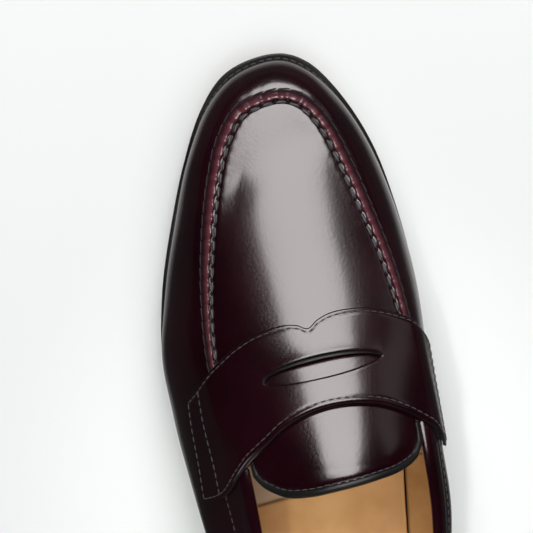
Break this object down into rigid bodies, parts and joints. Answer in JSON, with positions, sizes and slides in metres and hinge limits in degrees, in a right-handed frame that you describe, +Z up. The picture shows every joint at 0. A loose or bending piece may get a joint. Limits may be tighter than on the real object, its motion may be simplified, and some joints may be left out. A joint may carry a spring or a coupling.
{
  "type": "penny loafer",
  "caption": "Welted leather loafer for the left foot, with a raised apron seam, a slotted strap across the instep, a bound tongue and a low stacked heel.",
  "frame": {"origin": "middle of the shoe's box, on the floor", "axes": "+Z up, +Y from the toe towards the heel, +X towards the outer (lateral) side of this left shoe"},
  "size_m": [0.11, 0.3002, 0.0949],
  "materials": {
    "upper_leather": "glossy burgundy, fine grain",
    "edge_leather": "black edge dressing, satin",
    "heel_leather": "black edge dressing, satin",
    "heel_rubber": "matte black",
    "sole_leather": "natural veg-tanned, black edge",
    "insole_leather": "natural, matte",
    "canvas": "woven canvas",
    "cork": "granulated cork",
    "shank_steel": "plain steel",
    "foam": "foam",
    "sock_leather": "tan, smooth matte",
    "lining_leather": "tan, smooth satin",
    "stiffener_board": "leather board"
  },
  "bodies": {
    "shoe": {"outsole": "sole_leather", "welt": "edge_leather", "heel_rand": "edge_leather", "heel_lift_1": "heel_leather", "heel_lift_2": "heel_leather", "heel_lift_3": "heel_leather", "heel_top_piece": "heel_rubber", "insole": "insole_leather", "insole_rib": "canvas", "cork_filler": "cork", "seat_filler": "cork", "shank": "shank_steel", "heel_pad": "foam", "sock_liner": "sock_leather", "vamp": "upper_leather", "back_stay": "upper_leather", "apron": "upper_leather", "apron_seam_ridge": "upper_leather", "strap": "upper_leather", "strap_lining": "edge_leather", "topline_bead": "upper_leather", "toe_puff": "stiffener_board", "heel_counter": "stiffener_board", "vamp_lining": "lining_leather", "apron_lining": "lining_leather", "quarter_lining_lateral": "lining_leather", "quarter_lining_medial": "lining_leather", "heel_grip": "lining_leather"},
    "tongue": {"tongue": "upper_leather", "tongue_lining": "lining_leather", "tongue_binding": "edge_leather"}
  },
  "joints": [
    {"name": "tongue_lift", "type": "hinge", "parent": "shoe", "child": "tongue", "pos_m": [-0.008, -0.0083, 0.0795], "axis": [1, 0, 0], "range_deg": [0, 20], "stiffness_Nm_per_rad": 0.05}
  ]
}
